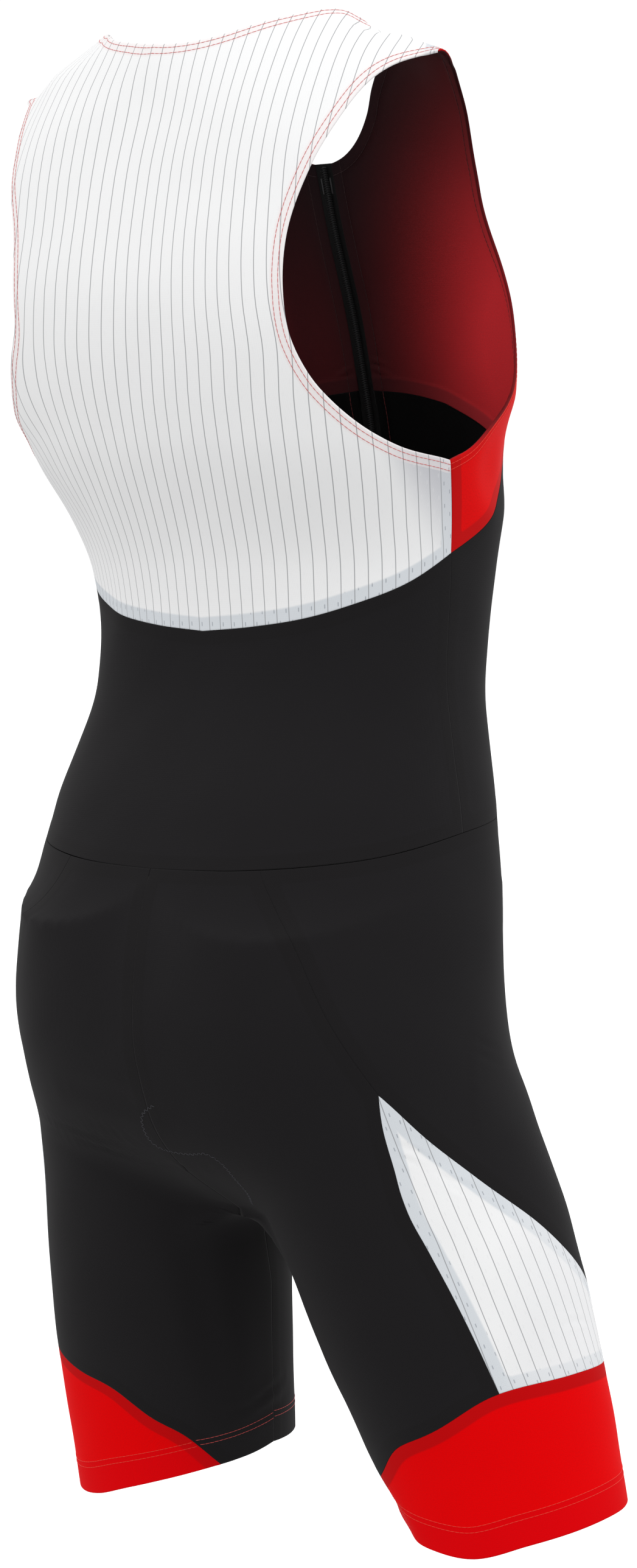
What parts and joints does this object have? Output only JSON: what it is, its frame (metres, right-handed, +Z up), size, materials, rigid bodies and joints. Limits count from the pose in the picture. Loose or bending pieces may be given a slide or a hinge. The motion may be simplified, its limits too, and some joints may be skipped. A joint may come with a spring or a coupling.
{
  "type": "triathlon suit",
  "caption": "Sleeveless one-piece triathlon suit with a front zip and short legs, filled out as worn, open at the neck, armholes and legs.",
  "frame": {"origin": "between the two shoulder straps, level with the middle of their height, where the wearer's shoulders carry the suit", "axes": "the wearer faces -Y, +X is the wearer's left, +Z up"},
  "size_m": [0.4156, 0.2831, 0.9593],
  "materials": {
    "white_cloth": "smooth knit with fine grey pinstripes",
    "red_cloth": "smooth knit",
    "cuff_cloth": "firm elastic knit",
    "black_cloth": "smooth knit",
    "zip_tape": "woven",
    "zip_coil": "matte",
    "zip_metal": "satin"
  },
  "bodies": {
    "suit": {"back_white": "white_cloth", "front_red_right": "red_cloth", "front_red_left": "red_cloth", "midriff_back": "black_cloth", "midriff_front_right": "black_cloth", "midriff_front_left": "black_cloth", "shorts_back_right": "black_cloth", "shorts_back_left": "black_cloth", "shorts_front_right": "black_cloth", "shorts_front_left": "black_cloth", "thigh_wedge_right": "white_cloth", "thigh_wedge_left": "white_cloth", "cuff_red_right": "cuff_cloth", "cuff_red_left": "cuff_cloth", "zip_tape_right": "zip_tape", "zip_tape_left": "zip_tape", "zip_chain": "zip_coil", "zip_slider": "zip_metal", "zip_stop_bottom": "zip_metal"},
    "pull": {"zip_pull": "zip_metal"}
  },
  "joints": [
    {"name": "pull_hinge", "type": "hinge", "parent": "suit", "child": "pull", "pos_m": [0, -0.0938, -0.0767], "axis": [-1, 0, 0], "range_deg": [0, 160]}
  ]
}
